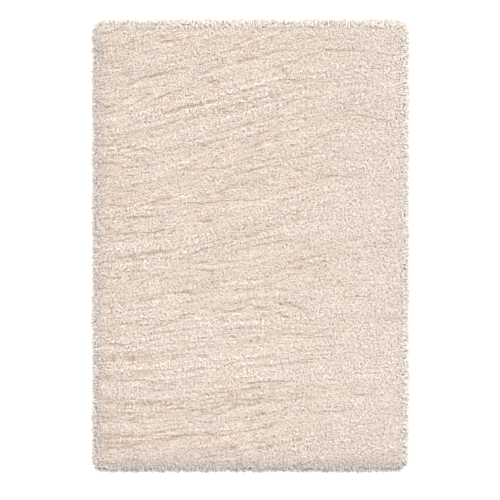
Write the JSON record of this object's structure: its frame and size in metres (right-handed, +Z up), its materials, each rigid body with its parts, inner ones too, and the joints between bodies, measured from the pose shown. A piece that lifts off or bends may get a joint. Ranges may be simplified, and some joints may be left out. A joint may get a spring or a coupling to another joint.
{
  "type": "shag rug",
  "caption": "Rectangular rug with rounded corners and a deep cut pile on a woven ground cloth, lying flat on the floor.",
  "frame": {"origin": "middle of the rug's outline, on the floor that its flat underside rests on", "axes": "+Y along the rug's length, away from the end that the pile leans towards; +X across the rug; +Z up, out of the pile"},
  "size_m": [1.6298, 2.3296, 0.0345],
  "materials": {
    "pile_yarn": "matt cut pile of cream yarn"
  },
  "bodies": {
    "root": {"rug": "pile_yarn"}
  },
  "joints": []
}
